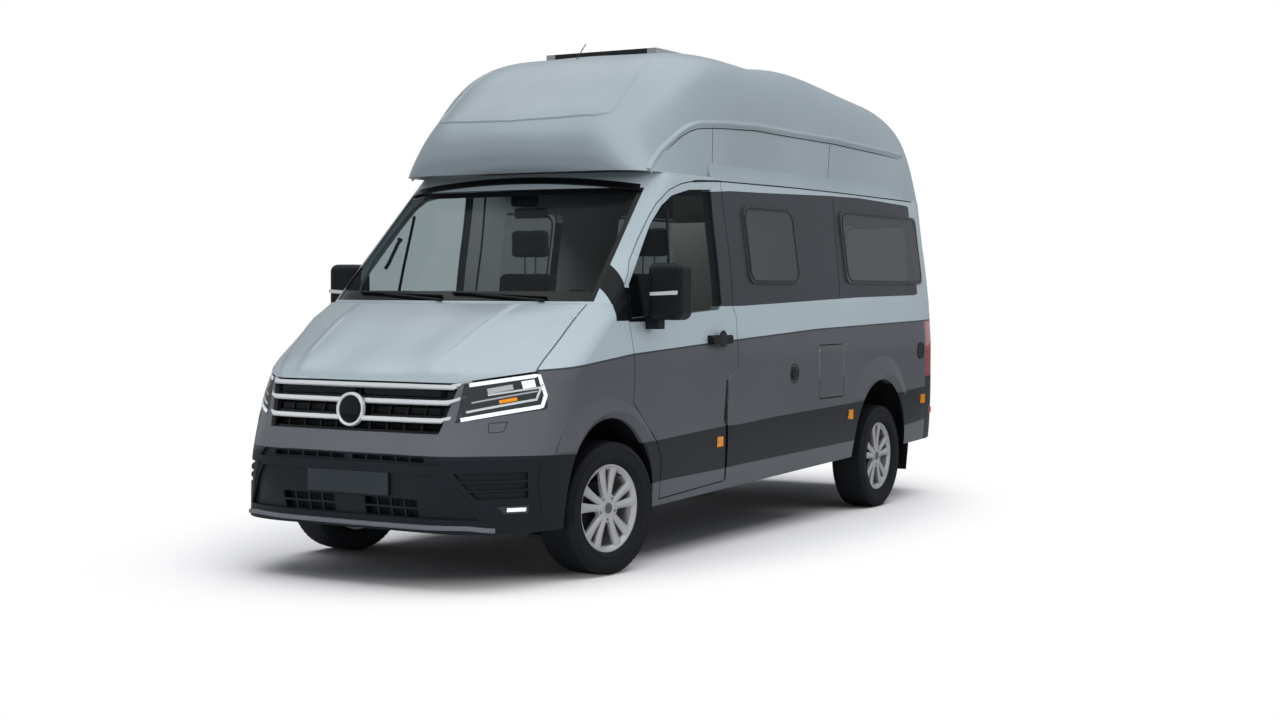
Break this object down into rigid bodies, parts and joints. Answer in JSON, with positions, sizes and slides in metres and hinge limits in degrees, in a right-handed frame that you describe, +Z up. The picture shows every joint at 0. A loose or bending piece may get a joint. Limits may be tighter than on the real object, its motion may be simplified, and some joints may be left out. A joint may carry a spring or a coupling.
{
  "type": "camper van",
  "caption": "High-roof camper van with opening cab and rear doors, bonnet, service flap, steered front wheels and a living space with bed, galley and washroom.",
  "frame": {"origin": "on the ground under the middle of the van", "axes": "+Z up, -Y towards the front of the van, +X towards its left side"},
  "size_m": [2.426, 5.9877, 3.0236],
  "materials": {
    "paint_silver": "satin",
    "paint_grey": "satin",
    "black_plastic": "matte",
    "chrome_trim": "polished",
    "lamp_clear": "gloss",
    "lamp_red": "gloss",
    "lamp_amber": "gloss",
    "glass_dark": "gloss",
    "tyre_rubber": "matte",
    "alloy": "satin",
    "steel_dark": "rough",
    "steel_bright": "brushed",
    "fabric_dark": "woven",
    "wood_light": "satin",
    "roof_white": "gloss"
  },
  "bodies": {
    "body": {"side_wall_left": "paint_silver", "side_wall_right": "paint_silver", "sliding_door": "paint_silver", "tail_lamps": "lamp_red", "rear_bumper": "black_plastic", "side_windows": "glass_dark", "fenders": "paint_silver", "front_fascia": "paint_grey", "front_bumper": "black_plastic", "head_lamps": "lamp_clear", "grille": "black_plastic", "grille_strips": "chrome_trim", "windscreen_frame": "paint_silver", "windscreen": "glass_dark", "cowl": "black_plastic", "high_roof": "roof_white", "roof_fittings": "black_plastic", "floor_pan": "steel_dark", "arch_liners": "black_plastic", "rear_axle": "steel_dark", "front_suspension": "steel_dark", "engine": "steel_dark", "exhaust": "steel_bright", "dashboard": "black_plastic", "steering_wheel": "black_plastic", "driver_seat": "fabric_dark", "passenger_seat": "fabric_dark", "living_units": "wood_light", "side_markers": "lamp_amber"},
    "b_door_front_left": {"door_front_left": "paint_silver", "door_glass_left": "glass_dark", "mirror_left": "black_plastic"},
    "b_door_front_right": {"door_front_right": "paint_silver", "door_glass_right": "glass_dark", "mirror_right": "black_plastic"},
    "b_door_rear_left": {"door_rear_left": "paint_silver", "rear_glass_left": "glass_dark"},
    "b_door_rear_right": {"door_rear_right": "paint_silver", "rear_glass_right": "glass_dark"},
    "b_bonnet": {"bonnet": "paint_silver"},
    "b_service_flap": {"service_flap": "paint_grey"},
    "b_knuckle_left": {"knuckle_left": "steel_dark"},
    "b_knuckle_right": {"knuckle_right": "steel_dark"},
    "wheel_front_left": {"tyre_front_left": "tyre_rubber", "rim_front_left": "alloy"},
    "wheel_front_right": {"tyre_front_right": "tyre_rubber", "rim_front_right": "alloy"},
    "wheel_rear_left": {"tyre_rear_left": "tyre_rubber", "rim_rear_left": "alloy"},
    "wheel_rear_right": {"tyre_rear_right": "tyre_rubber", "rim_rear_right": "alloy"}
  },
  "joints": [
    {"name": "door_front_left_hinge", "type": "hinge", "parent": "body", "child": "b_door_front_left", "pos_m": [0.987, -1.803, 1.14], "axis": [0.0523, 0, -0.9986], "range_deg": [0, 70]},
    {"name": "door_front_right_hinge", "type": "hinge", "parent": "body", "child": "b_door_front_right", "pos_m": [-0.987, -1.803, 1.14], "axis": [0.0523, 0, 0.9986], "range_deg": [0, 70]},
    {"name": "door_rear_left_hinge", "type": "hinge", "parent": "body", "child": "b_door_rear_left", "pos_m": [0.804, 2.937, 1.2], "axis": [0, 0, -1], "range_deg": [0, 105]},
    {"name": "door_rear_right_hinge", "type": "hinge", "parent": "body", "child": "b_door_rear_right", "pos_m": [-0.804, 2.937, 1.2], "axis": [0, 0, 1], "range_deg": [0, 105]},
    {"name": "bonnet_hinge", "type": "hinge", "parent": "body", "child": "b_bonnet", "pos_m": [0, -1.983, 1.442], "axis": [-1, 0, 0], "range_deg": [0, 55]},
    {"name": "service_flap_hinge", "type": "hinge", "parent": "body", "child": "b_service_flap", "pos_m": [0.986, 0.6175, 0.986], "axis": [0, 0, -1], "range_deg": [0, 110]},
    {"name": "steer_left", "type": "hinge", "parent": "body", "child": "b_knuckle_left", "pos_m": [0.72, -1.935, 0.357], "axis": [0, 0, 1], "range_deg": [-26, 44]},
    {"name": "steer_right", "type": "hinge", "parent": "body", "child": "b_knuckle_right", "pos_m": [-0.72, -1.935, 0.357], "axis": [0, 0, 1], "range_deg": [-26, 44]},
    {"name": "spin_front_left", "type": "hinge", "parent": "b_knuckle_left", "child": "wheel_front_left", "pos_m": [0.86371, -1.95776, 0.357], "axis": [0.9877, -0.1564, 0], "continuous": true},
    {"name": "spin_rear_left", "type": "hinge", "parent": "body", "child": "wheel_rear_left", "pos_m": [0.8565, 1.687, 0.357], "axis": [1, 0, 0], "continuous": true},
    {"name": "spin_front_right", "type": "hinge", "parent": "b_knuckle_right", "child": "wheel_front_right", "pos_m": [-0.86371, -1.91224, 0.357], "axis": [0.9877, -0.1564, 0], "continuous": true},
    {"name": "spin_rear_right", "type": "hinge", "parent": "body", "child": "wheel_rear_right", "pos_m": [-0.8565, 1.687, 0.357], "axis": [1, 0, 0], "continuous": true}
  ],
  "couplings": [
    {"joint": "steer_right", "follows": "steer_left", "ratio": 1}
  ]
}
